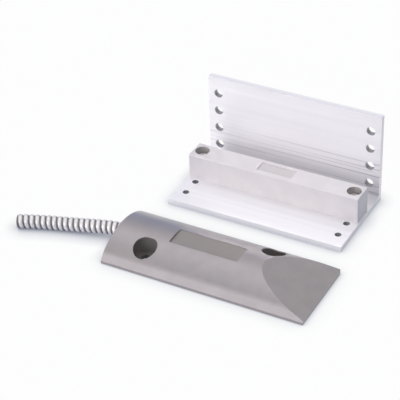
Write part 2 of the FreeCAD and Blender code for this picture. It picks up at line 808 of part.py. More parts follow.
def make_lead():
    """The armour, as a plain tube, and the round jacket inside it, which ends inside the housing."""
    path, length = lead_path()
    outer = armor_diameter.value / 2
    inner = armor_bore.value / 2
    armor = swept(path, outer).cut(swept(path, inner))
    expected = math.pi * (outer ** 2 - inner ** 2) * length
    print(f"lead: length {length:.2f} mm, armour {armor.Volume:.2f} mm3, by section {expected:.2f} mm3")
    as_feature("armored_lead", armor)
    radius = jacket_diameter.value / 2
    start = lead_points()[0]
    stub = Part.makeCylinder(radius, jacket_stop.value - start.x, start, X_AXIS)
    return as_feature("lead_jacket", swept(path, radius).fuse(stub).removeSplitter())


def make_bushing():
    """The flanged bushing between the armour and the jacket."""
    body = new_body("armor_bushing")
    place(body, lead_end, switch_y, lead_height)
    bore = bushing_bore / 2
    neck = armor_bore / 2 - S["bushing_clearance"]
    rim = armor_diameter / 2
    sleeve_start = S["armor_insert"] - S["bushing_sleeve"]
    corners = [
        (sleeve_start, bore),
        (seat_depth, bore),
        (seat_depth, rim),
        (S["armor_insert"], rim),
        (S["armor_insert"], neck),
        (sleeve_start, neck),
    ]
    turn_section(body, "bushing", corners, "H_Axis")


# Conductors inside the housing

def make_short_wire():
    """The conductor that runs straight to the near splice, and its core."""
    y = switch_y + reed_side
    core = rod_along_x("core_short", S["core_diameter"], jacket_stop, near_blade - jacket_stop, y, lead_height)
    coat = rod_along_x("coat_short", S["wire_diameter"], jacket_stop, S["wire_straight"], y, lead_height)
    return [cut_away("wire_short", coat, [core]), core]


def long_wire_path():
    """The returning conductor: straight out, over to its side in two arcs, along the reed, and half round a circle
    to the far splice."""
    middle = switch_y.value
    height = lead_height.value
    out_y = middle - reed_side.value
    side_y = middle + loop_side.value
    reed_y = middle + reed_side.value
    run = S["loop_shift"].value
    step = side_y - out_y
    shift_start = jacket_stop.value + S["strip_gap"].value
    shift_end = shift_start + run
    bend = (run ** 2 + step ** 2) / (4 * step)
    half_bend = math.asin(run / 2 / bend) / 2
    along = bend * math.sin(half_bend)
    across = bend * (1 - math.cos(half_bend))
    halfway = Vector((shift_start + shift_end) / 2, (out_y + side_y) / 2, height)
    turn_x = loop_turn.value
    loop = loop_reach.value / 2
    edges = [
        Part.LineSegment(Vector(jacket_stop.value, out_y, height), Vector(shift_start, out_y, height)),
        Part.Arc(
            Vector(shift_start, out_y, height),
            Vector(shift_start + along, out_y + across, height),
            halfway,
        ),
        Part.Arc(
            halfway,
            Vector(shift_end - along, side_y - across, height),
            Vector(shift_end, side_y, height),
        ),
        Part.LineSegment(Vector(shift_end, side_y, height), Vector(turn_x, side_y, height)),
        Part.Arc(
            Vector(turn_x, side_y, height),
            Vector(turn_x + loop, side_y - loop, height),
            Vector(turn_x, reed_y, height),
        ),
    ]
    return Part.Wire([edge.toShape() for edge in edges])


def make_long_wire():
    """The returning conductor and its core, which ends in the far splice."""
    path = long_wire_path()
    turn = Vector(loop_turn.value, (switch_y + reed_side).value, lead_height.value)
    stops = {"wire": far_splice_end + S["strip_gap"], "core": far_blade}
    rods = {}
    for name, stop in stops.items():
        radius = S[f"{name}_diameter"].value / 2
        tail = Part.makeCylinder(radius, turn.x - stop.value, turn, -X_AXIS)
        rods[name] = swept(path, radius).fuse(tail).removeSplitter()
    return [as_feature("wire_long", rods["wire"].cut(rods["core"])), as_feature("core_long", rods["core"])]


# Reed switch

def turn_about_reed(name, corners, x):
    """A turned piece on the reed's axis, its section measured from x."""
    body = new_body(name)
    place(body, x, switch_y + reed_side, lead_height)
    turn_section(body, name, corners, "H_Axis")
    return body


def make_splices():
    """The two crimped sleeves."""
    section = rectangle(ZERO, S["core_diameter"] / 2, S["splice_length"], S["splice_diameter"] / 2)
    return [
        turn_about_reed("splice_left", section, near_splice),
        turn_about_reed("splice_right", section, far_splice),
    ]


def make_capsule():
    """The carrier tube and the hollow glass capsule in it, both about the capsule's middle."""
    half_sleeve = sleeve_length / 2
    turn_about_reed(
        "reed_sleeve",
        rectangle(-half_sleeve, sleeve_bore / 2, half_sleeve, sleeve_diameter / 2),
        glass_middle,
    )
    half = S["glass_length"] / 2
    outer = S["glass_diameter"] / 2
    hollow = outer - S["glass_wall"]
    hole = S["core_diameter"] / 2
    seal = half - S["glass_seal"]
    bevel = S["glass_wall"]
    corners = [
        (-half, hole), (-seal, hole), (-seal, hollow), (seal, hollow), (seal, hole), (half, hole),
        (half, outer - bevel), (half - bevel, outer), (bevel - half, outer), (-half, outer - bevel),
    ]
    turn_about_reed("reed_glass", corners, glass_middle)


def make_reed_blade(name, side):
    """A blade: a round wire through the seal and a flat that ends past the capsule's middle. Side -1 is the left
    blade with its flat below the middle plane, and 1 the right blade with its flat above."""
    root = S["glass_length"] / 2 - S["glass_seal"]
    y = switch_y + reed_side
    wire_length = S["blade_wire"] + S["glass_seal"] + S["blade_join"]
    if side < 0:
        wire_x = near_blade
        flat_x = glass_middle - root
        flat_z = lead_height - S["blade_gap"] / 2 - S["blade_thickness"]
    else:
        wire_x = glass_middle + root - S["blade_join"]
        flat_x = glass_middle - S["blade_overlap"] / 2
        flat_z = lead_height + S["blade_gap"] / 2
    half_flat = S["blade_width"] / 2
    blade = doc.addObject("Part::Fuse", name)
    blade.Label = name
    blade.Base = rod_along_x(f"{name}_wire", S["core_diameter"], wire_x, wire_length, y, lead_height)
    blade.Tool = box_between(
        f"{name}_flat",
        (flat_x, y - half_flat, flat_z),
        (flat_x + root + S["blade_overlap"] / 2, y + half_flat, flat_z + S["blade_thickness"]),
    )
    return blade


def make_switch_potting(held):
    """The fill of the housing's channel and pocket, around all that it holds. The carrier tube stays
    hollow."""
    body = doc.addObject("PartDesign::Body", "switch_fill")
    place(body, y=switch_y)
    fills = {
        "channel_fill": (draw_channel, channel_ceiling),
        "pocket_fill": (draw_pocket, S["pocket_ceiling"]),
    }
    for name, (draw, ceiling) in fills.items():
        sketch = new_sketch(body, f"{name}_plan", "XY_Plane", S["potting_recess"])
        draw(sketch)
        pad(body, name, sketch, ceiling - S["potting_recess"])
    y = switch_y + reed_side
    tube_start = glass_middle - sleeve_length / 2
    tube = rod_along_x("tube_room", sleeve_diameter, tube_start, sleeve_length, y, lead_height)
    cut_away("switch_potting", body, held + [tube])


# Writing out

PARTS = [
    "switch_housing", "switch_potting", "armor_bushing", "armored_lead", "lead_jacket", "wire_short", "wire_long",
    "core_short", "core_long", "splice_left", "splice_right", "reed_sleeve", "reed_glass", "reed_blade_left",
    "reed_blade_right", "l_bracket", "magnet_housing", "magnet_potting", "bar_magnet_left", "bar_magnet_right",
    "block_screws",
]


def check_document():
    """Stops at any object that failed to build."""
    for thing in doc.Objects:
        if "Invalid" in thing.State or "Error" in thing.State:
            raise ValueError(f"{thing.Name} failed: {thing.State}")


def write_parts():
    """Writes each sub-part to its own file."""
    os.makedirs("parts", exist_ok=True)
    shapes = {name: doc.getObjectsByLabel(name)[0].Shape for name in PARTS}
    for name, shape in shapes.items():
        if shape.isNull() or not shape.isValid():
            raise ValueError(f"{name} has no valid shape")
    for name, shape in shapes.items():
        shape.exportStep(f"parts/{name}.step")
        print(f"{name}: {len(shape.Solids)} solids, {shape.Volume:.1f} mm3")


def main():
    """Builds every sub-part and writes it."""
    make_switch_housing()
    make_l_bracket()
    make_magnet_housing()
    make_magnet_potting(make_magnets())
    make_block_screws()
    make_bushing()
    make_capsule()
    held = [make_lead()]
    held += make_short_wire()
    held += make_long_wire()
    held += make_splices()
    held += [make_reed_blade("reed_blade_left", -1), make_reed_blade("reed_blade_right", 1)]
    doc.recompute()
    make_switch_potting(held)
    doc.recompute()
    check_document()
    write_parts()


main()
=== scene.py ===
# The looks of a magnetic contact for an overhead door: a low grey switch housing with an armoured lead,
# and a white magnet block on an aluminium angle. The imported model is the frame, and everything is in
# metres in its axes.
import json
import math

import bpy
import numpy as np
from mathutils import Matrix, Vector


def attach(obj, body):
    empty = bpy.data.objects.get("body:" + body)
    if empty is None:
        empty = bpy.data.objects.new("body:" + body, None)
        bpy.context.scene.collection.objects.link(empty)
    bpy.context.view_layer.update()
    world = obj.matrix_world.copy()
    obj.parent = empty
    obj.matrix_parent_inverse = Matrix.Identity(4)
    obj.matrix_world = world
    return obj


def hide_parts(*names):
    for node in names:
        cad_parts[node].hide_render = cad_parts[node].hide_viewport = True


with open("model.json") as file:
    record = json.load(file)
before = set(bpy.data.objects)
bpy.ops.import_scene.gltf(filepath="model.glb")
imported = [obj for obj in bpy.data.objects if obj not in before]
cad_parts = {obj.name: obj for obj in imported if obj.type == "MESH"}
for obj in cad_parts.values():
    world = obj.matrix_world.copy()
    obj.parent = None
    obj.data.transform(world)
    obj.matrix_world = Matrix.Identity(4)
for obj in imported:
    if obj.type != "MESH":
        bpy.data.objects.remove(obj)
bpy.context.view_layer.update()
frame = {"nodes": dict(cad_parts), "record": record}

MM = 0.001
FULL_TURN = 2 * math.pi


# Camera

CAMERA_PLACE = (0.28283, -0.55367, 0.45466)
CAMERA_YAW = -29.334
CAMERA_PITCH = 34.93
CAMERA_ROLL = -2.129
CAMERA_LENS = 137.9
SENSOR_WIDTH = 36.0
NEAREST_SEEN = 0.01


def make_camera():
    """Looks along (sin yaw cos pitch, cos yaw cos pitch, -sin pitch), with its level side and its up
    turned by the roll."""
    yaw, pitch, roll = (math.radians(angle) for angle in (CAMERA_YAW, CAMERA_PITCH, CAMERA_ROLL))
    forward = np.array([math.sin(yaw) * math.cos(pitch), math.cos(yaw) * math.cos(pitch), -math.sin(pitch)])
    level = np.array([math.cos(yaw), -math.sin(yaw), 0.0])
    upright = np.cross(level, forward)
    across = math.cos(roll) * level + math.sin(roll) * upright
    upward = math.cos(roll) * upright - math.sin(roll) * level
    turned = np.eye(4)
    turned[:3, :3] = np.stack([across, upward, -forward], axis=1)
    turned[:3, 3] = CAMERA_PLACE
    lens = bpy.data.cameras.new("camera")
    lens.sensor_width = SENSOR_WIDTH
    lens.lens = CAMERA_LENS
    lens.clip_start = NEAREST_SEEN
    camera = bpy.data.objects.new("camera", lens)
    camera.matrix_world = Matrix(turned.tolist())
    bpy.context.scene.collection.objects.link(camera)
    bpy.context.scene.camera = camera


make_camera()


# Surfaces

def route_frames(route):
    """The level side and the upward normal at each point of a route: tangent x Z, and that x
    tangent."""
    tangent = np.gradient(route, axis=0)
    tangent /= np.linalg.norm(tangent, axis=1, keepdims=True)
    side = np.cross(tangent, (0.0, 0.0, 1.0))
    side /= np.linalg.norm(side, axis=1, keepdims=True)
    return side, np.cross(side, tangent)


def even_route(route, count):
    """The route at count places an equal length apart."""
    steps = np.linalg.norm(np.diff(route, axis=0), axis=1)
    reached = np.concatenate([[0.0], np.cumsum(steps)])
    places = np.linspace(0.0, reached[-1], count)
    return np.stack([np.interp(places, reached, route[:, axis]) for axis in range(3)], axis=1), places


def rings_along(route, radius, columns, offset=0.0):
    """Rings carried along a route: the point at turn v is route + offset x side + radius x (cos v x
    side + sin v x up). The radius is one number, or one for each place and turn."""
    side, up = route_frames(route)
    turn = np.linspace(0.0, FULL_TURN, columns, endpoint=False)[None, :, None]
    ring = np.cos(turn) * side[:, None] + np.sin(turn) * up[:, None]
    reach = np.broadcast_to(np.asarray(radius, float), (len(route), columns))[..., None]
    return (route + offset * side)[:, None] + reach * ring


def band_faces(first_row, second_row, columns):
    """The quads between rings whose first points have these numbers."""
    here = np.arange(columns)
    following = np.roll(here, -1)
    corners = [first_row[:, None] + here, second_row[:, None] + here,
               second_row[:, None] + following, first_row[:, None] + following]
    return np.stack(corners, axis=-1).reshape(-1, 4)


def make_piece(name, points, faces, slot, sharp_angle=40):
    """A mesh object from points and faces, smooth except where it turns sharply, that rides on the
    one body."""
    mesh = bpy.data.meshes.new(name)
    mesh.from_pydata(points.reshape(-1, 3).tolist(), [], [face.tolist() for group in faces for face in group])
    mesh.validate()
    mesh.shade_smooth()
    mesh.set_sharp_from_angle(angle=math.radians(sharp_angle))
    piece = bpy.data.objects.new(name, mesh)
    bpy.context.scene.collection.objects.link(piece)
    piece.data.materials.append(FINISHED[slot])
    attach(piece, "root")
    return piece


def make_pipe(name, outer, inner, slot):
    """A pipe with walls: the outer rings forwards and the inner rings backwards, closed into one
    loop of rows, so that its two ends are flat rims."""
    rings = np.concatenate([outer, inner[::-1]])
    rows, columns = rings.shape[:2]
    starts = np.arange(rows) * columns
    return make_piece(name, rings, [band_faces(starts, np.roll(starts, -1), columns)], slot)


def note_depth(piece, depth):
    """Keeps how deep each point lies, from 0 to 1, on the mesh for its material. Points past the end
    of the list lie at 0."""
    values = np.zeros(len(piece.data.vertices), np.float32)
    values[:depth.size] = depth.ravel()
    piece.data.attributes.new("depth", "FLOAT", "POINT").data.foreach_set("value", values)


def make_rod(name, rings, slot):
    """A solid rod: its rings, and a fan of triangles over each end."""
    rows, columns = rings.shape[:2]
    starts = np.arange(rows) * columns
    middles = np.stack([rings[0].mean(axis=0), rings[-1].mean(axis=0)])
    points = np.concatenate([rings.reshape(-1, 3), middles])
    here = np.arange(columns)
    following = np.roll(here, -1)
    first = np.stack([np.full(columns, rows * columns), here, following], axis=1)
    last_row = starts[-1]
    last = np.stack([np.full(columns, rows * columns + 1), last_row + following, last_row + here], axis=1)
    return make_piece(name, points, [band_faces(starts[:-1], starts[1:], columns), first, last], slot)


# Materials

def linear(code, alpha=1.0):
    """An sRGB hex colour as linear light."""
    parts = [int(code[place:place + 2], 16) / 255 for place in (1, 3, 5)]
    return [*(part / 12.92 if part <= 0.04045 else ((part + 0.055) / 1.055) ** 2.4 for part in parts), alpha]


def add(tree, kind, inputs=(), **settings):
    """Adds a node, with its settings, and fills its inputs with values or with other nodes' outputs."""
    node = tree.nodes.new(kind)
    for name, value in settings.items():
        setattr(node, name, value)
    for key, value in dict(inputs).items():
        if isinstance(value, bpy.types.NodeSocket):
            tree.links.new(value, node.inputs[key])
        else:
            node.inputs[key].default_value = value
    return node


def new_tree(name):
    """An empty material and its node tree."""
    material = bpy.data.materials.new(name)
    material.use_nodes = True
    material.node_tree.nodes.clear()
    return material, material.node_tree


# The noise at and below which a finish has its first value, and at and above which it has its second
NOISE_LOW = 0.3
NOISE_HIGH = 0.7


def make_finish(name, colours, patch, grain, depth, roughness, metallic=0.0, stretch=(1, 1, 1), marks=None,
                drawn_axis=None, shader=()):
    """A finish with two layers of noise in object coordinates. Patches, as wide as patch in
    millimetres, blend its two colours. Grain, as wide as grain, swings the roughness between its two
    values and raises the surface by depth. stretch draws both out along an axis. marks lays further
    marks over the colour. drawn_axis is the axis that a drawn or rolled surface blurs its
    reflections across."""
    material, tree = new_tree(name)
    spot = add(tree, "ShaderNodeTexCoord").outputs["Object"]
    drawn = [1 / length for length in stretch]
    place = add(tree, "ShaderNodeMapping", {"Vector": spot, "Scale": drawn}).outputs["Vector"]
    patches = add(tree, "ShaderNodeTexNoise", {"Vector": place, "Scale": 1 / (patch * MM), "Detail": 3.0})
    grains = add(tree, "ShaderNodeTexNoise", {"Vector": place, "Scale": 1 / (grain * MM), "Detail": 2.0})
    colour = add(tree, "ShaderNodeMix", {
        "Factor": add(tree, "ShaderNodeMapRange", {
            "Value": patches.outputs["Fac"],
            "From Min": NOISE_LOW,
            "From Max": NOISE_HIGH,
        }).outputs["Result"],
        "A": linear(colours[0]),
        "B": linear(colours[1]),
    }, data_type="RGBA").outputs["Result"]
    if marks:
        colour = marks(tree, spot, colour)
    rough = add(tree, "ShaderNodeMapRange", {
        "Value": grains.outputs["Fac"],
        "From Min": NOISE_LOW,
        "From Max": NOISE_HIGH,
        "To Min": roughness[0],
        "To Max": roughness[1],
    })
    bump = add(tree, "ShaderNodeBump", {
        "Height": grains.outputs["Fac"], "Strength": 1.0, "Distance": depth * MM})
    bsdf = add(tree, "ShaderNodeBsdfPrincipled", {
        "Base Color": colour,
        "Metallic": metallic,
        "Roughness": rough.outputs["Result"],
        "Normal": bump.outputs["Normal"],
        **dict(shader),
    })
    if drawn_axis:
        around = add(tree, "ShaderNodeTangent", direction_type="RADIAL", axis=drawn_axis)
        tree.links.new(around.outputs["Tangent"], bsdf.inputs["Tangent"])
    add(tree, "ShaderNodeOutputMaterial", {"Surface": bsdf.outputs["BSDF"]})
    return material


# The switch's two mounting holes: where they are, and the radii of their counterbores and of their
# through holes
MOUNT_HOLES = [(-35.2 * MM, -44.05 * MM), (22.8 * MM, -19.65 * MM)]
MOUNT_RADIUS = 5.95 * MM
THROUGH_RADIUS = 2.7 * MM
# The switch's bare field: its lowest and highest corner in plan
FIELD_CORNERS = ((-25.5 * MM, -37.65 * MM), (11.9 * MM, -25.65 * MM))
# The block's bare field: the same two corners
BLOCK_FIELD_CORNERS = ((-10.8 * MM, 28.95 * MM), (8.8 * MM, 36.15 * MM))
# The bracket's holes: their two columns along its length, their heights in the upright leg and their
# places across the foot
HOLE_COLUMNS = (-44.0 * MM, 42.0 * MM)
LEG_HOLE_HEIGHTS = (10.4 * MM, 20.8 * MM, 31.2 * MM, 41.6 * MM)
FOOT_HOLE_PLACES = (13.35 * MM, 23.75 * MM)
LEG_HOLE_RADIUS = 2.45 * MM
FOOT_HOLE_RADIUS = 1.75 * MM
# The block's screws, in the same columns: their place across the foot, and the radius of their
# counterbores
SCREW_PLACE = 32.55 * MM
COUNTERBORE_RADIUS = 3.85 * MM
# How far the painted shade of a hole or the tone of a field takes to fade in from its edge
HOLE_EDGE = 0.1 * MM
FIELD_EDGE = 0.05 * MM
# The die lines of the angle: their spacing, the scale of their pattern along each axis (a small one draws
# it out), the noise between which they thicken, how strong they are, and pairs of heights, from the
# first to the second of which they fade in
DIE_LINE_SPACING = 0.8 * MM
DIE_LINE_DRAW = (0.004, 0.3, 1.0)
DIE_LINE_NOISE = (0.56, 0.66)
DIE_LINE_SHARE = 0.6
DIE_LINE_FADES = ((27 * MM, 19 * MM), (3.1 * MM, 3.6 * MM))
# The depths in the armour's grooves, as a share of the deepest, from and to which the grease and the painted
# shade in them thicken
GROOVE_GREASE_AND_SHADE_DEPTHS = (0.04, 0.8)


def bored(tree, first, second, centre, radius, colour, code):
    """The colour, turned to the one with this code within the radius of a hole's axis. first and
    second are the place across that axis."""
    level = add(tree, "ShaderNodeCombineXYZ", {0: first, 1: second}).outputs[0]
    axis = (*centre, 0)
    reach = add(tree, "ShaderNodeVectorMath", {0: level, 1: axis}, operation="DISTANCE").outputs["Value"]
    share = add(tree, "ShaderNodeMapRange", {
        "Value": reach, "From Min": radius, "From Max": radius - HOLE_EDGE}).outputs["Result"]
    return add(tree, "ShaderNodeMix", {
        "Factor": share, "A": colour, "B": linear(code)}, data_type="RGBA").outputs["Result"]


def fielded(tree, place, corners, colour, code):
    """The colour, turned to the one with this code between the two corners in plan."""
    share = 1.0
    for axis, low, high in zip("XY", *corners):
        for edge, inner in ((low, low + FIELD_EDGE), (high, high - FIELD_EDGE)):
            inside = add(tree, "ShaderNodeMapRange", {
                "Value": place[axis], "From Min": edge, "From Max": inner}).outputs["Result"]
            share = add(tree, "ShaderNodeMath", {0: share, 1: inside}, operation="MULTIPLY").outputs[0]
    return add(tree, "ShaderNodeMix", {
        "Factor": share, "A": colour, "B": linear(code)}, data_type="RGBA").outputs["Result"]


def casting_marks(tree, spot, colour):
    """Painted shade in the mounting holes: a dark tone in the counterbores, darker still in the through holes
    below the screws' seats; and a warmer field."""
    place = add(tree, "ShaderNodeSeparateXYZ", {0: spot}).outputs
    # The two tones in each hole are painted shade: darker in the counterbore, darkest in the through hole.
    for centre in MOUNT_HOLES:
        colour = bored(tree, place["X"], place["Y"], centre, MOUNT_RADIUS, colour, "#7A756F")
        colour = bored(tree, place["X"], place["Y"], centre, THROUGH_RADIUS, colour, "#3A3835")
    return fielded(tree, place, FIELD_CORNERS, colour, "#99938F")


def block_marks(tree, spot, colour):
    """A slightly duller field on the block's top, where the enamel is thin, and painted shade, a dark grey,
    in the counterbores."""
    place = add(tree, "ShaderNodeSeparateXYZ", {0: spot}).outputs
    # The dark grey in each counterbore is painted shade.
    for x in HOLE_COLUMNS:
        colour = bored(tree, place["X"], place["Y"], (x, SCREW_PLACE), COUNTERBORE_RADIUS, colour, "#827E7A")
    return fielded(tree, place, BLOCK_FIELD_CORNERS, colour, "#CFC9CC")


def bracket_marks(tree, spot, colour):
    """Fine grey die lines along the angle, low on the upright leg, and painted shade, a dull grey, on the
    walls of the drilled holes."""
    place = add(tree, "ShaderNodeSeparateXYZ", {0: spot}).outputs
    flat = add(tree, "ShaderNodeMapping", {"Vector": spot, "Scale": DIE_LINE_DRAW}).outputs["Vector"]
    lines = add(tree, "ShaderNodeTexNoise", {
        "Vector": flat, "Scale": 1 / DIE_LINE_SPACING, "Detail": 4.0}).outputs["Fac"]
    share = add(tree, "ShaderNodeMapRange", {
        "Value": lines,
        "From Min": DIE_LINE_NOISE[0],
        "From Max": DIE_LINE_NOISE[1],
        "To Max": DIE_LINE_SHARE,
    }).outputs["Result"]
    for bare, lined in DIE_LINE_FADES:
        band = add(tree, "ShaderNodeMapRange", {
            "Value": place["Z"], "From Min": bare, "From Max": lined}).outputs["Result"]
        share = add(tree, "ShaderNodeMath", {0: share, 1: band}, operation="MULTIPLY").outputs[0]
    colour = add(tree, "ShaderNodeMix", {
        "Factor": share, "A": colour, "B": linear("#A49EA6")}, data_type="RGBA").outputs["Result"]
    # The dull grey in each leg and foot hole is painted shade.
    for x in HOLE_COLUMNS:
        for z in LEG_HOLE_HEIGHTS:
            colour = bored(tree, place["X"], place["Z"], (x, z), LEG_HOLE_RADIUS, colour, "#505057")
        for y in FOOT_HOLE_PLACES:
            colour = bored(tree, place["X"], place["Y"], (x, y), FOOT_HOLE_RADIUS, colour, "#5C5C62")
    return colour


def armor_marks(tree, spot, colour):
    """Brown-grey drawing grease and dust in the grooves between the turns, with painted shade in the same
    dark tone.
    """
    depth = add(tree, "ShaderNodeAttribute", attribute_name="depth").outputs["Fac"]
    share = add(tree, "ShaderNodeMapRange", {
        "Value": depth, "From Min": GROOVE_GREASE_AND_SHADE_DEPTHS[0], "From Max": GROOVE_GREASE_AND_SHADE_DEPTHS[1]}).outputs["Result"]
    # The brown-grey in the grooves is partly grease and dust, partly painted shade.
    return add(tree, "ShaderNodeMix", {
        "Factor": share, "A": colour, "B": linear("#857F7A")}, data_type="RGBA").outputs["Result"]


def make_glass():
    """Clear glass with a green tint, drawn as tube and fused at its ends."""
    material, tree = new_tree("greenish_capsule_glass")
    bsdf = add(tree, "ShaderNodeBsdfPrincipled", {
        "Base Color": linear("#D4EBDC"), "Roughness": 0.03, "IOR": 1.5, "Transmission Weight": 1.0})
    add(tree, "ShaderNodeOutputMaterial", {"Surface": bsdf.outputs["BSDF"]})
    return material


FINISHED = {
    # Die-cast alloy, bead blasted and sprayed with a satin aluminium grey: soft blurred reflections and
    # a very fine grit, drawn at 0.35 mm so that it shows
    "grey_casting": make_finish(
        "satin_aluminium_grey_spray", ("#9F999B", "#A6A0A2"), patch=7, grain=0.35, depth=0.004,
        roughness=(0.36, 0.44), metallic=0.5, marks=casting_marks,
        shader={"Coat Weight": 0.8, "Coat Roughness": 0.3}),
    # Die-cast alloy with a thick off-white baked enamel: a clear shine close up, a trace of orange peel
    "block_casting": make_finish(
        "off_white_baked_enamel", ("#DDD8DC", "#E4DFE2"), patch=9, grain=1.2, depth=0.002,
        roughness=(0.20, 0.26), marks=block_marks,
        shader={"Coat Weight": 0.3, "Coat Roughness": 0.12}),
    # Drawn aluminium angle, mill finish: bright, with die lines and rolling streaks along its length
    "bracket_aluminium": make_finish(
        "drawn_aluminium_mill_finish", ("#F6F4F8", "#FCFBFD"), patch=3.4, grain=0.45, depth=0.002,
        roughness=(0.34, 0.44), metallic=0.5, stretch=(60, 1, 1), marks=bracket_marks, drawn_axis="X",
        shader={"Anisotropic": 0.6}),
    # Galvanised steel strip, wound cold: pale zinc with a faint spangle and broad soft highlights
    "armor_steel": make_finish(
        "galvanised_strip", ("#E9E6EB", "#F4F2F6"), patch=1.6, grain=0.3, depth=0.003,
        roughness=(0.44, 0.52), metallic=0.35, marks=armor_marks),
    # Poured epoxy: black and glossy, slightly wavy where it set
    "potting": make_finish(
        "black_poured_epoxy", ("#17171A", "#202023"), patch=6, grain=3.5, depth=0.03,
        roughness=(0.22, 0.34)),
    # Extruded natural polyamide tube
    "sleeve_plastic": make_finish(
        "natural_polyamide", ("#DAD7C9", "#E4E2D6"), patch=3, grain=0.4, depth=0.002,
        roughness=(0.38, 0.46)),
    "capsule_glass": make_glass(),
    # Nickel-iron wire, stamped flat, annealed: soft grey sheen
    "blade_alloy": make_finish(
        "annealed_nickel_iron", ("#B0AEA8", "#C2C0BA"), patch=0.8, grain=0.15, depth=0.001,
        roughness=(0.26, 0.36), metallic=1.0),
    # Tinned brass crimp tube
    "splice_metal": make_finish(
        "tinned_brass", ("#BDBAB0", "#CFCCC3"), patch=1, grain=0.2, depth=0.002,
        roughness=(0.28, 0.4), metallic=1.0),
    # Soft vinyl insulation, extruded
    "wire_insulation": make_finish(
        "white_vinyl_insulation", ("#DEDDD8", "#E8E7E3"), patch=2, grain=0.3, depth=0.002,
        roughness=(0.32, 0.42)),
    # Drawn copper, a little dulled
    "wire_copper": make_finish(
        "drawn_copper", ("#B8704C", "#CB8560"), patch=0.6, grain=0.12, depth=0.001,
        roughness=(0.28, 0.4), metallic=1.0),
    # Grey vinyl cable jacket, extruded matt
    "jacket_plastic": make_finish(
        "grey_vinyl_jacket", ("#55555A", "#626267"), patch=2.5, grain=0.35, depth=0.004,
        roughness=(0.42, 0.54)),
    # Moulded red polyethylene bushing
    "bushing_plastic": make_finish(
        "red_polyethylene", ("#A32B24", "#B23229"), patch=2, grain=0.3, depth=0.002,
        roughness=(0.34, 0.42)),
    # Cast magnet alloy, ground on its faces: grey with a coarse grain
    "magnet_alloy": make_finish(
        "ground_cast_magnet_alloy", ("#5E5E60", "#77777A"), patch=1.4, grain=0.4, depth=0.006,
        roughness=(0.36, 0.5), metallic=1.0),
    # Zinc-plated screw steel: pale heads that stay bright inside their counterbores
    "screw_steel": make_finish(
        "zinc_plated_steel", ("#EFEDEB", "#F6F4F2"), patch=1, grain=0.25, depth=0.002,
        roughness=(0.34, 0.44), metallic=0.3),
}


def dress_nodes():
    """Gives each node of the frame the finish of its slot."""
    for part in frame["record"]["subparts"]:
        for held in frame["nodes"][part["node"]].material_slots:
            held.material = FINISHED[part["material_slot"]]


dress_nodes()


# Lead

# Where the lead leaves the housing, and its route from inside the seat to its free end
LEAD_EXIT = (-0.0545, -0.03265, 0.005625)
LEAD_ROUTE = [
    (-0.0485, -0.03265, 0.005625),
    (-0.0580, -0.03265, 0.005625),
    (-0.0680, -0.03475, 0.00500),
    (-0.0790, -0.03725, 0.00405),
    (-0.0900, -0.04025, 0.00369),
    (-0.1000, -0.04365, 0.00366),
    (-0.1083, -0.04715, 0.00366),
]
ARMOR_RADIUS = 3.65 * MM
ARMOR_BORE = 2.45 * MM
JACKET_RADIUS = 1.9 * MM
JACKET_BORE = 1.5 * MM
JACKET_INNER_END = -0.0451
CONDUCTOR_RADIUS = 0.7 * MM
CORE_RADIUS = 0.3 * MM
CONDUCTOR_OFFSET = 0.8 * MM

# The wound strip: its pitch, the share of it that a rounded turn takes, how much lower a turn's
# shoulders are than its crest, how deep the groove between two turns is, and the phase at which it's
# cut at the free end
STRIP_PITCH = 2.95 * MM
TURN_SHARE = 0.7
TURN_SHOULDER = 0.3 * MM
GROOVE_DEPTH = 0.62 * MM
CUT_PHASE = 0.66
ROWS_PER_TURN = 22
# How square the turns and the grooves are in section: 1 is a half wave, and less is squarer
TURN_SQUARENESS = 0.55
GROOVE_SQUARENESS = 0.6
# Points round each pipe, places along the jacket, and how many of the armour's places its bore and its
# path skip
ARMOR_COLUMNS = 60
JACKET_COLUMNS = 40
CONDUCTOR_COLUMNS = 24
JACKET_ROWS = 90
BORE_STEP = 6


def lead_line():
    """Points on the smooth line that has the route's points as its control points."""
    line = bpy.data.curves.new("lead_line", "CURVE")
    line.dimensions = "3D"
    line.resolution_u = 24
    spline = line.splines.new("NURBS")
    spline.points.add(len(LEAD_ROUTE) - 1)
    for point, place in zip(spline.points, LEAD_ROUTE):
        point.co = (*place, 1.0)
    spline.order_u = 3
    spline.use_endpoint_u = True
    holder = bpy.data.objects.new("lead_line", line)
    bpy.context.scene.collection.objects.link(holder)
    read = bpy.data.meshes.new_from_object(holder)
    points = np.array([vertex.co for vertex in read.vertices], float)
    bpy.data.objects.remove(holder)
    bpy.data.curves.remove(line)
    bpy.data.meshes.remove(read)
    return points


def strip_radius(places, columns):
    """The armour's outer radius. Its phase runs from 0 to 1 over one pitch and shifts by one turn
    round the lead, so that the turns wind in a helix. A turn is a raised half wave, and the groove
    beside it a steep dip."""
    turn = np.arange(columns) / columns
    phase = ((places[:, None] - places[-1]) / STRIP_PITCH + turn[None, :] + CUT_PHASE) % 1.0
    across = np.clip(phase / TURN_SHARE, 0.0, 1.0)
    crest = np.sin(np.pi * across) ** TURN_SQUARENESS
    dip = np.clip((phase - TURN_SHARE) / (1 - TURN_SHARE), 0.0, 1.0)
    groove = np.sin(np.pi * dip) ** GROOVE_SQUARENESS
    return ARMOR_RADIUS - TURN_SHOULDER * (1 - crest) - (GROOVE_DEPTH - TURN_SHOULDER) * groove


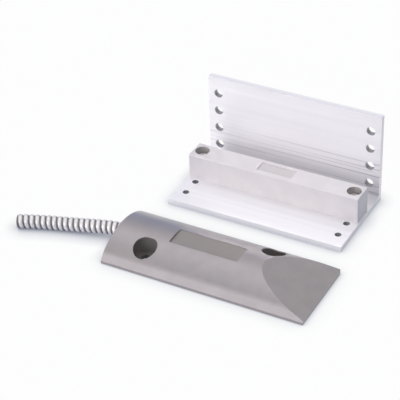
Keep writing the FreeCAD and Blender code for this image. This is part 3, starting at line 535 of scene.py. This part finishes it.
def make_lead():
    """The wound armour, the jacket in it and two conductors with their cores, all cut square at the
    free end."""
    line = lead_line()
    length = np.linalg.norm(np.diff(line, axis=0), axis=1).sum()
    route, places = even_route(line, round(length / STRIP_PITCH * ROWS_PER_TURN))
    radius = strip_radius(places, ARMOR_COLUMNS)
    armor = make_pipe(
        "wound_armor",
        rings_along(route, radius, ARMOR_COLUMNS),
        rings_along(route[::BORE_STEP], ARMOR_BORE, ARMOR_COLUMNS),
        "armor_steel",
    )
    note_depth(armor, (ARMOR_RADIUS - radius) / GROOVE_DEPTH)
    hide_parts("armored_lead")
    inside = np.concatenate([[(JACKET_INNER_END, *LEAD_EXIT[1:])], line])
    core_line, _ = even_route(inside, JACKET_ROWS)
    jacket = make_pipe(
        "jacket_tube",
        rings_along(core_line, JACKET_RADIUS, JACKET_COLUMNS),
        rings_along(core_line, JACKET_BORE, JACKET_COLUMNS),
        "jacket_plastic",
    )
    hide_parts("lead_jacket")
    for name, offset in (("near", CONDUCTOR_OFFSET), ("far", -CONDUCTOR_OFFSET)):
        coat = rings_along(core_line, CONDUCTOR_RADIUS, CONDUCTOR_COLUMNS, offset)
        bore = rings_along(core_line, CORE_RADIUS, CONDUCTOR_COLUMNS, offset)
        make_pipe(f"conductor_{name}", coat, bore, "wire_insulation")
        make_rod(f"conductor_core_{name}", bore, "wire_copper")


make_lead()


# Floor and light

# How much of the floor glows, how near a thing shades it to the camera and in reflections, the shade's
# own tone, and the floor's size and place
FLOOR_GLOW = 0.98
CONTACT_REACH = 9 * MM
MIRRORED_REACH = 14 * MM
PAPER_TONE = "#848EAC"
FLOOR_REACH = 4.0
FLOOR_DROP = 0.02 * MM

# The studio's large soft lamps, seen from the object: direction, focus, colour and strength. A lamp
# fades with the cosine to the power of its focus.
STUDIO_LAMPS = [
    ("low_front_screen", (-0.40, -0.89, 0.22), 20, "#FFFEFD", 5.85),
    ("high_front_screen", (-0.40, -0.79, 0.46), 20, "#FCF3FF", 1.22),
    ("high_back_screen", (-0.40, 0.34, 0.85), 20, "#F2EEFF", 1.10),
    ("back_screen", (-0.40, 0.67, 0.625), 20, "#FFE6C0", 0.18),
    ("cool_back_window", (-0.40, 0.88, 0.25), 20, "#8CB6FF", 0.60),
    ("left_wall", (-0.95, -0.10, 0.30), 3, "#FFF8EC", 0.46),
    ("back_wall", (0.20, 0.90, 0.40), 3, "#FFF8E6", 0.24),
    ("right_wall", (0.85, 0.45, 0.30), 3, "#C8D0FF", 0.10),
    ("ceiling", (0.20, 0.0, 1.0), 3, "#FBFEFF", 1.34),
]


def make_floor():
    """A pale floor that shows white to the camera and in reflections, with a little of the object's
    shadow left."""
    material, tree = new_tree("white_studio_floor")
    path = add(tree, "ShaderNodeLightPath")
    glossy = path.outputs["Is Glossy Ray"]
    clear = path.outputs["Is Transmission Ray"]
    straight = path.outputs["Is Camera Ray"]
    mirrored = add(tree, "ShaderNodeMath", {0: glossy, 1: clear}, operation="ADD", use_clamp=True).outputs[0]
    near = add(tree, "ShaderNodeAmbientOcclusion", {"Distance": CONTACT_REACH}, samples=8).outputs["AO"]
    wide = add(tree, "ShaderNodeAmbientOcclusion", {"Distance": MIRRORED_REACH}, samples=8).outputs["AO"]
    seen = add(tree, "ShaderNodeMath", {0: straight, 1: near}, operation="MULTIPLY").outputs[0]
    share = add(tree, "ShaderNodeMath", {0: mirrored, 1: wide, 2: seen}, operation="MULTIPLY_ADD").outputs[0]
    share = add(tree, "ShaderNodeMath", {0: share, 1: FLOOR_GLOW}, operation="MULTIPLY").outputs[0]
    paper = add(tree, "ShaderNodeBsdfDiffuse", {"Color": linear(PAPER_TONE)})
    glow = add(tree, "ShaderNodeEmission", {"Color": linear("#FFFFFF"), "Strength": 1.0})
    mixed = add(tree, "ShaderNodeMixShader", {
        "Fac": share, 1: paper.outputs[0], 2: glow.outputs[0]})
    add(tree, "ShaderNodeOutputMaterial", {"Surface": mixed.outputs[0]})
    mesh = bpy.data.meshes.new("floor")
    corners = [(x * FLOOR_REACH, y * FLOOR_REACH, 0) for x, y in ((-1, -1), (1, -1), (1, 1), (-1, 1))]
    mesh.from_pydata(corners, [], [(0, 1, 2, 3)])
    mesh.materials.append(material)
    floor = bpy.data.objects.new("floor", mesh)
    floor.location.z = -FLOOR_DROP
    bpy.context.scene.collection.objects.link(floor)


def make_lights():
    """The studio round the object, as the sum of its lamps, and white to the camera."""
    world = bpy.data.worlds.new("studio")
    bpy.context.scene.world = world
    world.use_nodes = True
    tree = world.node_tree
    tree.nodes.clear()
    place = add(tree, "ShaderNodeTexCoord").outputs["Generated"]
    total = None
    for name, direction, focus, colour, strength in STUDIO_LAMPS:
        towards = Vector(direction).normalized()
        turned = add(tree, "ShaderNodeVectorMath", {0: place, 1: towards}, operation="DOT_PRODUCT")
        facing = turned.outputs["Value"]
        front = add(tree, "ShaderNodeMath", {0: facing, 1: 0.0}, operation="MAXIMUM").outputs[0]
        fade = add(tree, "ShaderNodeMath", {0: front, 1: focus}, operation="POWER", label=name).outputs[0]
        light = Vector(linear(colour)[:3]) * strength
        lamp = add(tree, "ShaderNodeVectorMath", {
            0: light, "Scale": fade}, operation="SCALE").outputs["Vector"]
        if total is None:
            total = lamp
        else:
            total = add(tree, "ShaderNodeVectorMath", {0: total, 1: lamp}).outputs["Vector"]
    path = add(tree, "ShaderNodeLightPath")
    lit = add(tree, "ShaderNodeBackground", {"Color": total, "Strength": 1.0})
    seen = add(tree, "ShaderNodeBackground", {"Color": linear("#FFFFFF"), "Strength": 1.0})
    mixed = add(tree, "ShaderNodeMixShader", {
        "Fac": path.outputs["Is Camera Ray"], 1: lit.outputs[0], 2: seen.outputs[0]})
    add(tree, "ShaderNodeOutputWorld", {"Surface": mixed.outputs[0]})


make_floor()
make_lights()

bpy.context.scene.view_settings.view_transform = "Standard"
